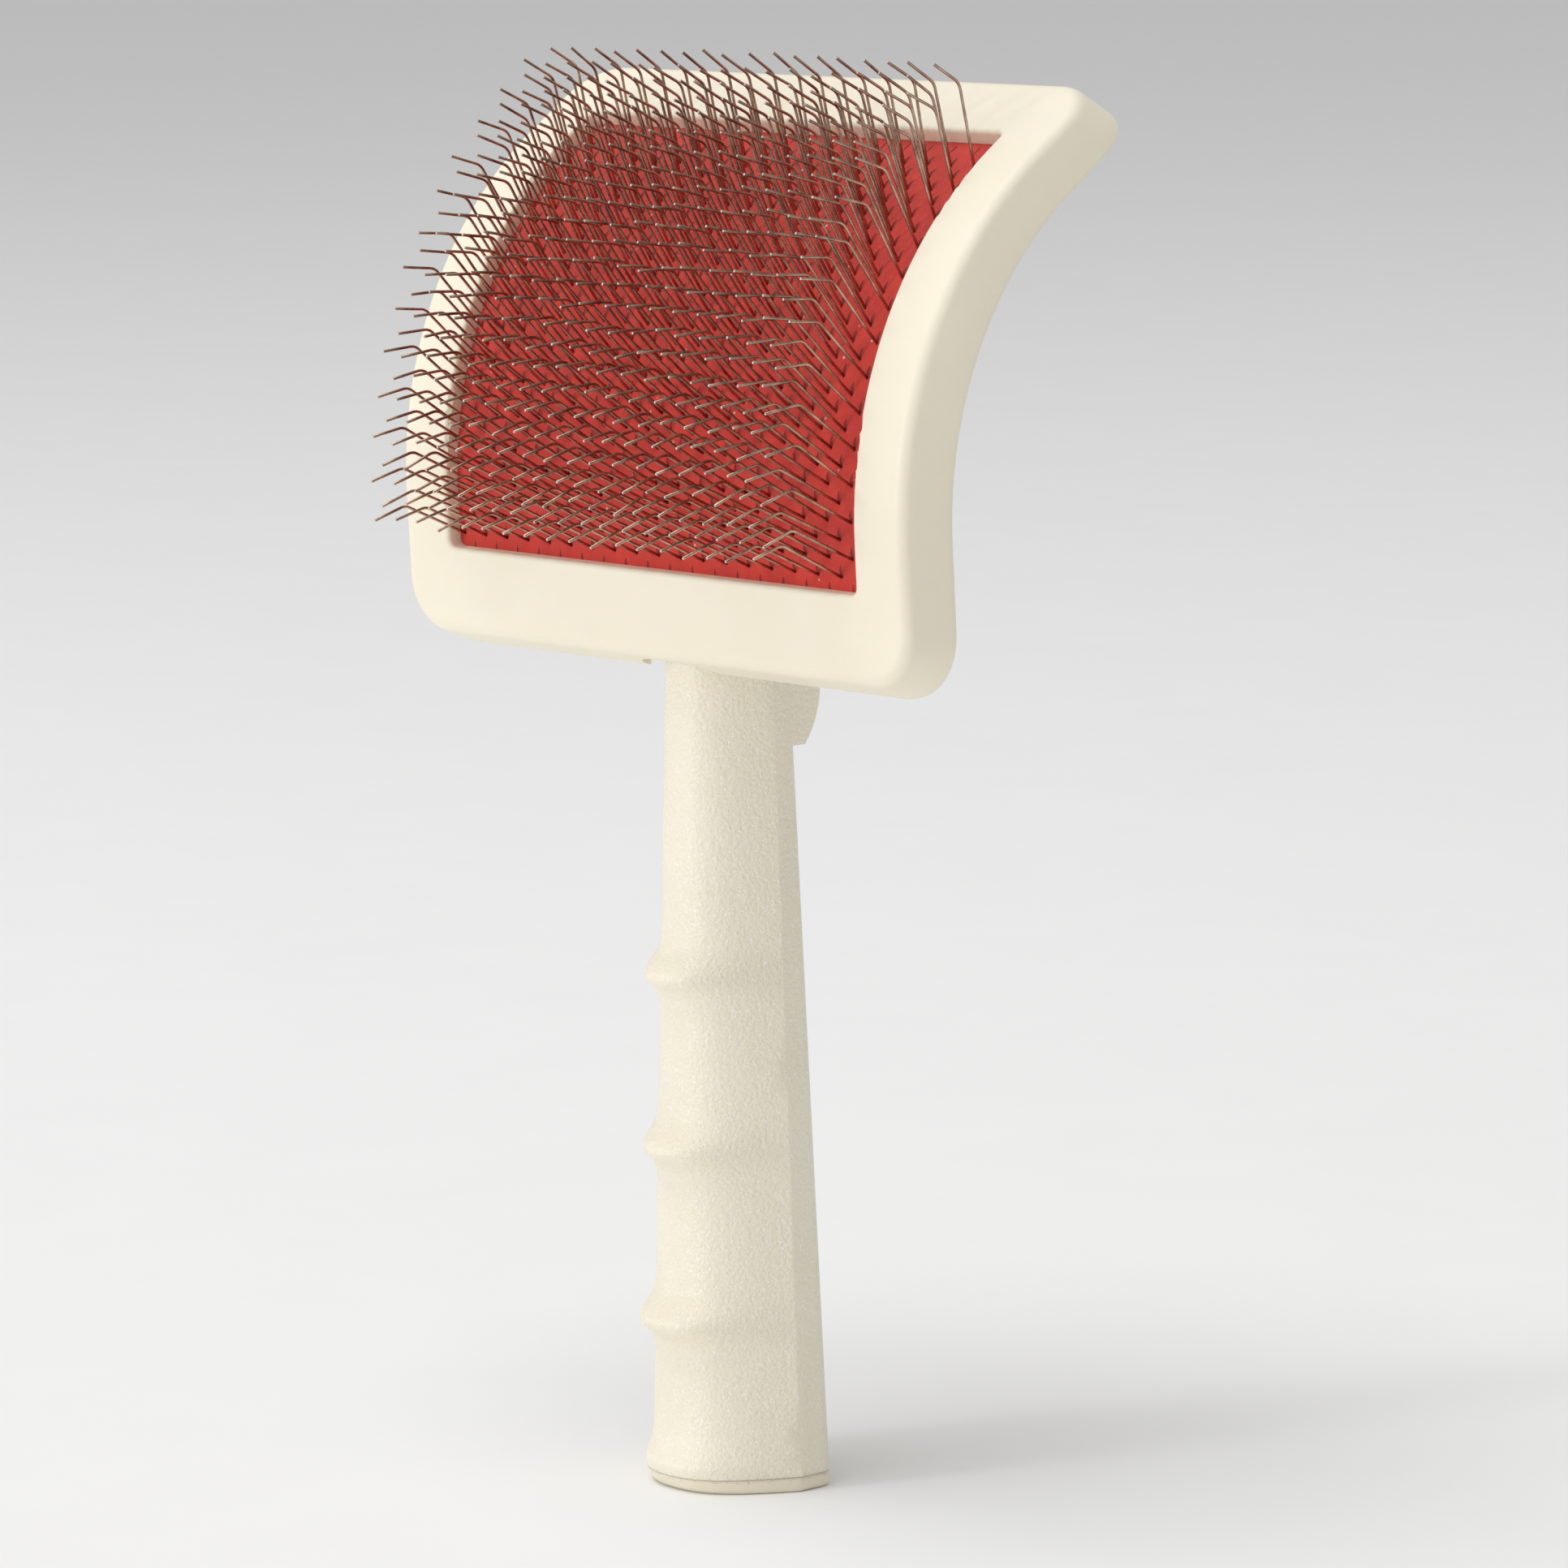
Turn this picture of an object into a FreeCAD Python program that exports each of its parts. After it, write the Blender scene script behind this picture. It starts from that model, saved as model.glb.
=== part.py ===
import FreeCAD, Part
import math
import os

# Curved slicker brush: a framed, pin-set pad on a hollow handle with an end cap.
# Origin: centre of the end cap's flat bottom. +Z runs up the handle, -Y is the
# pin side, +X is the right-hand side seen from the pins. All lengths are in mm.

DEGREE = math.pi / 180

doc = FreeCAD.newDocument("slicker_brush")
os.makedirs("parts", exist_ok=True)

SIZES = {
    # head: the face is straight, bends through an arc, and is straight again
    "face_foot_y": -14.3,        # where the face meets the lower wall's level
    "face_foot_z": 117.45,
    "face_foot_tilt": -3.0,      # degrees; negative leans forward
    "face_bend_radius": 60.0,
    "face_bend_angle": 58.0,
    "face_low_straight": 21.9,
    "face_high_straight": 17.7,
    "head_half_width": 55.3,      # at the back edge of the flared walls
    "head_depth": 7.0,
    "head_flare": 2.8,
    "back_land": 0.6,            # upright strip left behind the flare
    "head_corner_radius": 10.0,
    "head_edge_radius": 2.2,
    "shell_wall": 2.2,
    "rim_thickness": 2.4,
    "window_half_width": 43.0,
    "window_low": 14.9,          # measured up the face from its foot
    "window_high": 86.6,
    "window_corner_radius": 1.2,
    "window_lip_radius": 0.7,
    # pad, layer by layer behind the rim
    "pad_margin": 3.6,
    "facing_thickness": 0.9,
    "foundation_thickness": 0.8,
    "cushion_thickness": 1.4,
    "plate_thickness": 1.3,
    "fit_gap": 0.1,
    # wire pins
    "wire_radius": 0.21,
    "pin_rows": 26,
    "pins_per_row": 18,
    "pin_pitch": 4.7,
    "row_pitch": 2.59,
    "first_row": 16.8,           # up the face from its foot
    "pin_shift": -1.0,           # the set of pins sits a little off centre
    "low_row_lean": 27.0,        # degrees, up the face from its normal
    "high_row_lean": 22.0,
    "low_row_hook": 14.0,        # degrees, back toward the handle
    "high_row_hook": 23.0,
    "leg_length": 12.0,
    "hook_length": 5.8,
    "knee_radius": 2.2,
    "crown_bend_radius": 0.6,
    "pin_hole_gap": 0.06,
    # handle
    "handle_low_half_width": 14.3,
    "handle_top_half_width": 9.8,
    "handle_low_front": 11.4,
    "handle_top_front": 9.0,
    "handle_low_back": 6.8,
    "handle_top_back": 4.6,
    "handle_top": 120.4,
    "handle_back_corner": 2.6,
    "flank_share": 0.55,          # how far out the front oval's shoulders stand
    "shoulder_fullness": 1.4,
    "hollow_corner": 0.6,
    "handle_wall": 2.3,
    "hollow_top": 98.0,
    "section_step": 1.4,
    "ridge_height": 3.8,
    "ridge_width": 2.6,
    "lowest_ridge": 24.5,
    "ridge_spacing": 24.9,
    "foot_ridge": 3.4,
    "foot_ridge_height": 1.9,
    "lug_low": 106.7,
    "lug_high": 115.0,
    "lug_depth": 9.1,
    "lug_nose": 1.1,             # flat step under the lug
    "lug_round": 0.3,
    "lug_droop": 0.5,
    "spine_hollow": 1.6,         # how far the spine's back dips above the lug
    "spine_length": 58.0,        # up the face from its foot
    "spine_tip_thickness": 2.2,
    "spine_inset": 0.25,
    "notch_half_width": 7.8,
    "notch_depth": 5.2,
    # end cap
    "seam_height": 2.2,
    "cap_edge_radius": 0.9,
    "plug_length": 9.0,
    "plug_gap": 0.15,
    "plug_wall": 1.6,
    # screws
    "boss_radius": 2.9,
    "plate_screw_x": 38.0,
    "low_boss_up": 8.2,
    "high_boss_down": 8.0,
    "handle_screw_x": 5.2,
    "screw_radius": 1.1,
    "screw_length": 3.5,
    "screw_hole_radius": 1.3,
    "screw_head_radius": 2.1,
    "counterbore_radius": 2.4,
    "plate_seat_depth": 0.7,
    "screw_head_height": 1.3,
    "screw_head_round": 0.45,
    "slot_length": 2.4,
    "slot_width": 0.5,
    "slot_floor": 0.6,
    "handle_screw_grip": 3.0,
}

sheet = doc.addObject("Spreadsheet::Sheet", "Sizes")
for row, (name, value) in enumerate(SIZES.items(), start=1):
    sheet.set(f"A{row}", name)
    sheet.set(f"B{row}", str(value))
    sheet.setAlias(f"B{row}", name)
doc.recompute()


def size(name):
    """A driving dimension, read back from the sheet."""
    return float(sheet.get(name))


def vec(x, y, z):
    return FreeCAD.Vector(x, y, z)


# ---------------------------------------------------------------- head geometry

LOW_TILT = size("face_foot_tilt") * DEGREE
HIGH_TILT = LOW_TILT + size("face_bend_angle") * DEGREE
BEND_LENGTH = size("face_bend_radius") * size("face_bend_angle") * DEGREE
FACE_LENGTH = size("face_low_straight") + BEND_LENGTH + size("face_high_straight")


def face_tilt(up):
    """Backward tilt of the face, in radians, at a distance up from its foot."""
    into_bend = (up - size("face_low_straight")) / BEND_LENGTH
    return LOW_TILT + (HIGH_TILT - LOW_TILT) * min(max(into_bend, 0), 1)


def face_point(x, up, depth):
    """A point given by its distance up the face and its depth behind it."""
    radius = size("face_bend_radius")
    low = size("face_low_straight")
    tilt = face_tilt(up)
    along_low = min(up, low)
    y = size("face_foot_y") + along_low * math.sin(LOW_TILT)
    z = size("face_foot_z") + along_low * math.cos(LOW_TILT)
    y += radius * (math.cos(LOW_TILT) - math.cos(tilt))
    z += radius * (math.sin(tilt) - math.sin(LOW_TILT))
    beyond = max(up - low - BEND_LENGTH, 0)
    y += beyond * math.sin(HIGH_TILT)
    z += beyond * math.cos(HIGH_TILT)
    return vec(x, y + depth * math.cos(tilt), z - depth * math.sin(tilt))


def face_placement(x, up, depth):
    """Local +Z points out of the face, local -Y up along it."""
    turn = FreeCAD.Rotation(vec(1, 0, 0), 90 - face_tilt(up) / DEGREE)
    return FreeCAD.Placement(face_point(x, up, depth), turn)


def in_sketch(point):
    """Y and Z of a point become the two coordinates of a sketch on the YZ plane."""
    return vec(point.y, point.z, 0)


def face_run(low, high, depth):
    """Line, arc and line that follow the face at one depth, as sketch geometry."""
    bend_low = size("face_low_straight")
    bend_high = bend_low + BEND_LENGTH
    stops = [low, bend_low, (bend_low + bend_high) / 2, bend_high, high]
    spots = [in_sketch(face_point(0, up, depth)) for up in stops]
    return [
        Part.LineSegment(spots[0], spots[1]),
        Part.Arc(spots[1], spots[2], spots[3]),
        Part.LineSegment(spots[3], spots[4]),
    ]


def band(low, high, front, back):
    """Closed outline between two depths behind the face."""
    ends = [
        [in_sketch(face_point(0, up, depth)) for depth in (front, back)]
        for up in (low, high)
    ]
    return (
        face_run(low, high, front)
        + [Part.LineSegment(*ends[1])]
        + face_run(low, high, back)
        + [Part.LineSegment(*ends[0])]
    )


# ------------------------------------------------------- part design shorthand


def new_body(label):
    body = doc.addObject("PartDesign::Body", label)
    body.Label = label
    return body


def origin_plane(body, role):
    for feature in body.Origin.OriginFeatures:
        if feature.Role == role:
            return feature
    raise LookupError(role)


def add_sketch(body, name, role, geometry):
    sketch = body.newObject("Sketcher::SketchObject", name)
    sketch.AttachmentSupport = (origin_plane(body, role), "")
    sketch.MapMode = "FlatFace"
    for piece in geometry:
        sketch.addGeometry(piece, False)
    doc.recompute()
    return sketch


def add_band(body, kind, name, outline, width_expression):
    """Pad or pocket of an outline on the YZ plane, both ways from the middle."""
    feature = body.newObject(kind, name)
    feature.Profile = add_sketch(body, name + "_outline", "YZ_Plane", outline)
    feature.SideType = "Symmetric"
    feature.setExpression("Length", width_expression)
    doc.recompute()
    return feature


def edges_where(shape, test):
    return [f"Edge{n}" for n, edge in enumerate(shape.Edges, start=1) if test(edge)]


def add_fillet(body, name, edges, radius_expression):
    base = body.Tip
    fillet = body.newObject("PartDesign::Fillet", name)
    fillet.Base = (base, edges)
    fillet.setExpression("Radius", radius_expression)
    doc.recompute()
    return fillet


def depth_of(point):
    """Depth of a point behind the face, found on the straight or in the bend."""
    radius = size("face_bend_radius")
    start = face_point(0, size("face_low_straight"), radius)
    out = vec(0, point.y - start.y, point.z - start.z)
    angle = math.atan2(out.z, -out.y)
    if angle < LOW_TILT:
        return radius - (-out.y * math.cos(LOW_TILT) + out.z * math.sin(LOW_TILT))
    if angle > HIGH_TILT:
        return radius - (-out.y * math.cos(HIGH_TILT) + out.z * math.sin(HIGH_TILT))
    return radius - out.Length


def runs_in_depth(edge):
    """True for the short straight edges that run from front to back."""
    ends = [depth_of(v.Point) for v in edge.Vertexes]
    return len(ends) == 2 and abs(abs(ends[1] - ends[0]) - edge.Length) < 0.01


def lies_at_depth(edge, depth):
    spots = edge.discretize(5)
    return all(abs(depth_of(spot) - depth) < 0.02 for spot in spots)


# ------------------------------------------------------------------- head frame


def pocket_band(body, name, low, high, front, back, width_expression):
    """Cuts a band out of the body and checks that it took something away."""
    before = body.Shape.Volume
    outline = band(low, high, front, back)
    pocket = add_band(body, "PartDesign::Pocket", name, outline, width_expression)
    if not pocket.Shape.Volume < before:
        raise ValueError(f"{name} cuts nothing")
    return pocket


def make_layer(label, front, back, edge_low, width_expression):
    """A curved sheet behind the rim, reaching the same distance past all sides."""
    body = new_body(label)
    outline = band(edge_low, FACE_LENGTH - edge_low, front, back)
    add_band(body, "PartDesign::Pad", "sheet", outline, width_expression)
    return body


def round_layer(body):
    """Rounds the four corners of a sheet to follow the inside of the walls."""
    corner_edges = edges_where(body.Tip.Shape, runs_in_depth)
    add_fillet(
        body, "round_corners", corner_edges,
        "Sizes.head_corner_radius - Sizes.head_flare - Sizes.shell_wall",
    )


def boss_spots():
    """Places on the face behind which the screw bosses stand: x, up, kind."""
    low = size("low_boss_up")
    high = FACE_LENGTH - size("high_boss_down")
    spots = [(side * size("plate_screw_x"), up) for side in (-1, 1) for up in (low, high)]
    return spots + [(side * size("handle_screw_x"), low) for side in (-1, 1)]


def upright_tube(radius, hole_radius, height):
    tube = Part.makeCylinder(radius, height)
    return tube.cut(Part.makeCylinder(hole_radius, height))


def plate_front():
    """Depth of the back plate's front, behind rim, facing, foundation and cushion."""
    layers = ("rim_thickness", "facing_thickness", "foundation_thickness", "cushion_thickness")
    return sum(size(layer) for layer in layers)


def make_frame_shell():
    """Rim and flared walls in one moulding, open at the back and at the window."""
    body = new_body("frame_shell")
    depth = size("head_depth")
    pad = add_band(
        body, "PartDesign::Pad", "block", band(0, FACE_LENGTH, 0, depth),
        "2 * Sizes.head_half_width",
    )
    corner_edges = edges_where(pad.Shape, runs_in_depth)
    add_fillet(body, "corners", corner_edges, "Sizes.head_corner_radius")
    base = body.Tip
    flare = body.newObject("PartDesign::Chamfer", "flare")
    flare.Base = (base, edges_where(base.Shape, lambda edge: lies_at_depth(edge, 0)))
    flare.ChamferType = "Two distances"
    flare.setExpression("Size", "Sizes.head_flare")
    flare.setExpression("Size2", "Sizes.head_depth - Sizes.back_land")
    doc.recompute()
    front = edges_where(flare.Shape, lambda edge: lies_at_depth(edge, 0))
    add_fillet(body, "soft_front", front, "Sizes.head_edge_radius")
    pocket_band(
        body, "window", size("window_low"), size("window_high"), -3, depth + 1,
        "2 * Sizes.window_half_width",
    )
    window_corners = edges_where(
        body.Tip.Shape,
        lambda edge: runs_in_depth(edge)
        and abs(abs(edge.Vertexes[0].X) - size("window_half_width")) < 0.01,
    )
    add_fillet(body, "window_corners", window_corners, "Sizes.window_corner_radius")
    lip = edges_where(
        body.Tip.Shape,
        lambda edge: lies_at_depth(edge, 0)
        and all(
            abs(spot.x) < size("window_half_width") + 0.01 for spot in edge.discretize(3)
        )
        and face_point(0, size("window_low") - 0.1, 0).z < edge.CenterOfMass.z
        and edge.CenterOfMass.z < face_point(0, size("window_high") + 0.1, 0).z,
    )
    add_fillet(body, "window_lip", lip, "Sizes.window_lip_radius")
    return body


def notch_tool():
    """Half-oval cutter that opens the lower wall for the handle."""
    half_width = size("notch_half_width")
    back_edge = face_point(0, 0, size("head_depth"))
    disc = Part.makeCylinder(half_width, 8)
    squash = FreeCAD.Matrix()
    squash.scale(vec(1, size("notch_depth") / half_width, 1))
    oval = disc.transformGeometry(squash)
    oval.translate(vec(0, back_edge.y, back_edge.z - 4))
    return oval


def make_head_frame(shell):
    """The moulding hollowed from behind, with screw bosses and the handle notch."""
    wall = size("shell_wall") + size("head_flare")
    hollow = make_layer(
        "hollow_blank", size("rim_thickness"), size("head_depth") + 1, wall,
        "2 * (Sizes.head_half_width - Sizes.head_flare - Sizes.shell_wall)",
    )
    round_layer(hollow)
    shape = shell.Shape.cut(hollow.Shape)
    height = plate_front() - size("rim_thickness")
    for x, up in boss_spots():
        boss = upright_tube(size("boss_radius"), size("screw_radius"), height)
        boss.Placement = face_placement(x, up, plate_front())
        shape = shape.fuse(boss)
    frame = doc.addObject("Part::Feature", "head_frame")
    frame.Shape = shape.cut(notch_tool()).removeSplitter()
    return frame


# ------------------------------------------------------------ pad and back plate


def pad_edge():
    """Distance up the face to the pad's lower edge, tucked behind the rim."""
    return size("window_low") - size("pad_margin")


PAD_WIDTH = "2 * (Sizes.window_half_width + Sizes.pad_margin)"


def pin_spots(row):
    """X of every pin in a row; odd rows sit half a pitch to the right."""
    pitch = size("pin_pitch")
    count = int(size("pins_per_row"))
    start = size("pin_shift") - (count - 0.5) / 2 * pitch + (row % 2) * pitch / 2
    return [start + pin * pitch for pin in range(count)]


def row_height(row):
    return size("first_row") + row * size("row_pitch")


def row_angle(row, low, high):
    """An angle that changes evenly from the lowest row of pins to the highest."""
    share = row / (size("pin_rows") - 1)
    return (size(low) + (size(high) - size(low)) * share) * DEGREE


def leg_direction(row):
    """Way the legs leave the face: out along local Z, leaning toward local -Y."""
    lean = row_angle(row, "low_row_lean", "high_row_lean")
    return vec(0, -math.sin(lean), math.cos(lean))


def pin_holes():
    """Leaning holes through the facing and the foundation, one for each pin."""
    thickness = size("facing_thickness") + size("foundation_thickness")
    radius = size("wire_radius") + size("pin_hole_gap")
    holes = []
    for row in range(int(size("pin_rows"))):
        leg_way = leg_direction(row)
        hole = Part.makeCylinder(radius, 3 * thickness, leg_way * (-2 * thickness), leg_way)
        for x in pin_spots(row):
            drilled = hole.copy()
            drilled.Placement = face_placement(x, row_height(row), size("rim_thickness"))
            holes.append(drilled)
    return Part.makeCompound(holes)


def make_pierced_layer(label, front, back, holes):
    blank = make_layer(label + "_blank", front, back, pad_edge(), PAD_WIDTH)
    layer = doc.addObject("Part::Feature", label)
    layer.Shape = blank.Shape.cut(holes)
    return layer


def make_back_plate():
    """Closes the frame from behind; screw heads sit in counterbored seats."""
    wall = size("shell_wall") + size("head_flare") + size("fit_gap")
    front = plate_front()
    back = front + size("plate_thickness")
    blank = make_layer(
        "plate_blank", front, back, wall,
        "2 * (Sizes.head_half_width - Sizes.head_flare - Sizes.shell_wall - Sizes.fit_gap)",
    )
    round_layer(blank)
    shape = blank.Shape
    for x, up in boss_spots():
        hole = Part.makeCylinder(size("screw_hole_radius"), 4 * size("plate_thickness"))
        hole.Placement = face_placement(x, up, back + size("plate_thickness"))
        shape = shape.cut(hole)
        if abs(x) > size("handle_screw_x"):
            seat = Part.makeCylinder(size("counterbore_radius"), size("plate_seat_depth"))
            seat.Placement = face_placement(x, up, back)
            shape = shape.cut(seat)
    plate = doc.addObject("Part::Feature", "back_plate")
    plate.Shape = shape
    return plate


# --------------------------------------------------------------------- wire pins


def rounded_path(corners, radii):
    """Wire through the corners, each one rounded with an arc of its radius."""
    edges = []
    start = corners[0]
    for before, corner, after, radius in zip(corners, corners[1:], corners[2:], radii):
        into = (corner - before).normalize()
        out = (after - corner).normalize()
        turn = math.acos(into.dot(out))
        reach = radius * math.tan(turn / 2)
        arc_start = corner - into * reach
        arc_end = corner + out * reach
        inward = (out - into).normalize()
        middle = corner + inward * (radius / math.cos(turn / 2) - radius)
        edges.append(Part.LineSegment(start, arc_start).toShape())
        edges.append(Part.Arc(arc_start, middle, arc_end).toShape())
        start = arc_end
    edges.append(Part.LineSegment(start, corners[-1]).toShape())
    return Part.Wire(edges)


def make_staple(row):
    """One wire bent into two pins: a crown under the cloth, two hooked legs."""
    hook = row_angle(row, "low_row_hook", "high_row_hook")
    leg_way = leg_direction(row)
    hook_way = vec(0, math.sin(hook), math.cos(hook))
    buried = size("facing_thickness") + size("foundation_thickness") + size("wire_radius")
    root = leg_way * (-buried / leg_way.z)
    knee = leg_way * size("leg_length")
    tip = knee + hook_way * size("hook_length")
    across = vec(size("pin_pitch"), 0, 0)
    corners = [tip, knee, root, root + across, knee + across, tip + across]
    knee_radius = size("knee_radius")
    crown_radius = size("crown_bend_radius")
    path = rounded_path(corners, [knee_radius, crown_radius, crown_radius, knee_radius])
    section = Part.Wire(Part.makeCircle(size("wire_radius"), tip, hook_way))
    staple = path.makePipeShell([section], True, False)
    expected = math.pi * size("wire_radius") ** 2 * path.Length
    if abs(staple.Volume / expected - 1) > 0.01:
        raise ValueError("the staple's volume is off")
    return staple


def make_staple_row(row):
    """Nine staples side by side, as separate solids of one node."""
    staple = make_staple(row)
    staples = []
    for x in pin_spots(row)[::2]:
        placed = staple.copy()
        placed.Placement = face_placement(x, row_height(row), size("rim_thickness"))
        staples.append(placed)
    node = doc.addObject("Part::Feature", f"staple_row_{row + 1:02d}")
    node.Shape = Part.makeCompound(staples)
    return node


# ------------------------------------------------------------------------ handle


def taper(height, low, top):
    """Straight-line change from the foot of the handle to its neck."""
    return low + (top - low) * height / size("lug_high")


def half_width(height):
    return taper(height, size("handle_low_half_width"), size("handle_top_half_width"))


def back_depth(height):
    return taper(height, size("handle_low_back"), size("handle_top_back"))


def front_depth(height):
    """Front bulge of the grip with its smooth finger ridges."""
    depth = taper(height, size("handle_low_front"), size("handle_top_front"))
    ridges = [(size("foot_ridge"), size("foot_ridge_height"))]
    for count in range(3):
        centre = size("lowest_ridge") + count * size("ridge_spacing")
        ridges.append((centre, size("ridge_height")))
    for centre, height_of_ridge in ridges:
        depth += height_of_ridge * math.exp(-(((height - centre) / size("ridge_width")) ** 2))
    return depth


def grip_section(height, width, front, back, corner):
    """A bulging front that meets a flat-sided channel shape at two creases."""
    oval = Part.BSplineCurve()
    shoulder = size("flank_share") * width
    fullness = size("shoulder_fullness")
    oval.buildFromPolesMultsKnots(
        [
            vec(width, 0, height),
            vec(shoulder, -front, height),
            vec(0, -front, height),
            vec(-shoulder, -front, height),
            vec(-width, 0, height),
        ],
        [3, 2, 3], [0, 1, 2], False, 2, [1, fullness, 1, fullness, 1],
    )
    bend = corner * (1 - math.sqrt(0.5))
    return Part.Wire([
        oval.toShape(),
        Part.makeLine(vec(-width, 0, height), vec(-width, back - corner, height)),
        Part.Arc(
            vec(-width, back - corner, height),
            vec(-width + bend, back - bend, height),
            vec(-width + corner, back, height),
        ).toShape(),
        Part.makeLine(vec(-width + corner, back, height), vec(width - corner, back, height)),
        Part.Arc(
            vec(width - corner, back, height),
            vec(width - bend, back - bend, height),
            vec(width, back - corner, height),
        ).toShape(),
        Part.makeLine(vec(width, back - corner, height), vec(width, 0, height)),
    ])


def outer_section(height, inset=0):
    return grip_section(
        height, half_width(height) - inset, front_depth(height) - inset,
        back_depth(height) - inset, size("handle_back_corner") - 0.5 * inset,
    )


def plain_section(height, inset):
    """Section without ridges, for the hollow and for the plug that enters it."""
    front = taper(height, size("handle_low_front"), size("handle_top_front"))
    return grip_section(
        height, half_width(height) - inset, front - inset, back_depth(height) - inset,
        size("hollow_corner"),
    )


def plain_prism(low, high, inset):
    return Part.makeLoft([plain_section(low, inset), plain_section(high, inset)], True, True)


def make_grip_front():
    """Grip from the end cap's seam up into the notch, with the ridges in its front."""
    seam = size("seam_height")
    length = size("handle_top") - seam
    count = round(length / size("section_step"))
    heights = [seam + length * n / count for n in range(count + 1)]
    return Part.makeLoft([outer_section(height) for height in heights], True, False)


def spine_outline():
    """Side view of the lug behind the neck and the spine behind the back plate."""
    plate_back = plate_front() + size("plate_thickness") + size("fit_gap")
    tip = size("spine_length")
    start = size("shell_wall") + size("head_flare") + size("fit_gap") + 0.3
    front_run = face_run(start, tip, plate_back)[:1]
    bend_low = size("face_low_straight")
    front_run.append(Part.Arc(*[
        in_sketch(face_point(0, up, plate_back))
        for up in (bend_low, (bend_low + tip) / 2, tip)
    ]))
    low = size("lug_low")
    high = size("lug_high")
    depth = size("lug_depth")
    nose = vec(back_depth(low) + size("lug_nose"), low, 0)
    inside = vec(0, low, 0)
    middle = vec(
        depth - size("lug_round") * (depth - nose.x), (low + high) / 2 - size("lug_droop"), 0,
    )
    shoulder = vec(depth, high, 0)
    top_back = in_sketch(face_point(0, tip, plate_back + size("spine_tip_thickness")))
    tip_front = in_sketch(face_point(0, tip, plate_back))
    sag = vec(depth - size("spine_hollow"), (high + top_back.y) / 2, 0)
    foot = in_sketch(face_point(0, start, plate_back))
    clear_of_wall = vec(face_point(0, 0, size("head_depth")).y + 0.4, foot.y, 0)
    under = vec(clear_of_wall.x, size("handle_top") - 1.5, 0)
    return front_run + [
        Part.LineSegment(inside, nose),
        Part.Arc(nose, middle, shoulder),
        Part.Arc(shoulder, sag, top_back),
        Part.LineSegment(top_back, tip_front),
        Part.LineSegment(foot, clear_of_wall),
        Part.LineSegment(clear_of_wall, under),
        Part.LineSegment(under, vec(0, under.y, 0)),
        Part.LineSegment(vec(0, under.y, 0), inside),
    ]


def side_taper():
    """Prism whose slanting sides carry the grip's taper up the lug and spine."""
    low = 0
    high = size("handle_top") + size("spine_length")
    low_width = half_width(low) - size("spine_inset")
    high_width = half_width(high) - size("spine_inset")
    corners = [
        vec(-low_width, -60, low),
        vec(low_width, -60, low),
        vec(high_width, -60, high),
        vec(-high_width, -60, high),
    ]
    return Part.Face(Part.makePolygon(corners + corners[:1])).extrude(vec(0, 120, 0))


def make_handle():
    """Hollow grip, rear lug and spine in one moulding, drilled for two screws."""
    spine = new_body("spine_blank")
    add_band(
        spine, "PartDesign::Pad", "spine", spine_outline(),
        "2 * Sizes.handle_low_half_width",
    )
    shape = make_grip_front().cut(plain_prism(-2, size("hollow_top"), size("handle_wall")))
    shape = shape.fuse(spine.Shape.common(side_taper()))
    seat = plate_front() + size("plate_thickness") + size("handle_screw_grip")
    for x, up in boss_spots():
        if abs(x) > size("handle_screw_x"):
            continue
        hole = Part.makeCylinder(size("screw_hole_radius"), 30)
        hole.Placement = face_placement(x, up, 30)
        bore = Part.makeCylinder(size("counterbore_radius"), 30)
        bore.Placement = face_placement(x, up, seat + 30)
        shape = shape.cut(hole).cut(bore)
    handle = doc.addObject("Part::Feature", "handle")
    handle.Shape = shape
    return handle


def make_end_cap():
    """Shallow cap with a rounded foot and a hollow plug that fills the grip."""
    edge = size("cap_edge_radius")
    seam = size("seam_height")
    sections = []
    for part_turn in range(7):
        angle = part_turn / 6 * math.pi / 2
        height = edge * (1 - math.cos(angle))
        sections.append(outer_section(height, edge * (1 - math.sin(angle))))
    for step in range(1, 4):
        sections.append(outer_section(edge + step * (seam - edge) / 3))
    cap = Part.makeLoft(sections, True, False)
    inset = size("handle_wall") + size("plug_gap")
    top = seam + size("plug_length")
    plug = plain_prism(edge, top, inset)
    bore = plain_prism(seam, top + 1, inset + size("plug_wall"))
    end_cap = doc.addObject("Part::Feature", "end_cap")
    end_cap.Shape = cap.fuse(plug).cut(bore)
    return end_cap


# ------------------------------------------------------------------------ screws


def make_screw(length):
    """Pan-head self-tapping screw, head upward, tip pointing along -Z."""
    radius = size("screw_radius")
    head_radius = size("screw_head_radius")
    head = Part.makeCylinder(head_radius, size("screw_head_height"))
    rim = [edge for edge in head.Edges if edge.CenterOfMass.z > 0.9 * size("screw_head_height")]
    head = head.makeFillet(size("screw_head_round"), rim[:1])
    shank = Part.makeCylinder(radius, length - radius, vec(0, 0, radius - length))
    tip = Part.makeCone(0.2 * radius, radius, radius, vec(0, 0, -length))
    long = size("slot_length")
    wide = size("slot_width")
    floor = size("slot_floor")
    slot_long = Part.makeBox(long, wide, 1, vec(-long / 2, -wide / 2, floor))
    slot_wide = Part.makeBox(wide, long, 1, vec(-wide / 2, -long / 2, floor))
    return head.fuse(shank).fuse(tip).cut(slot_long).cut(slot_wide)


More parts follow.
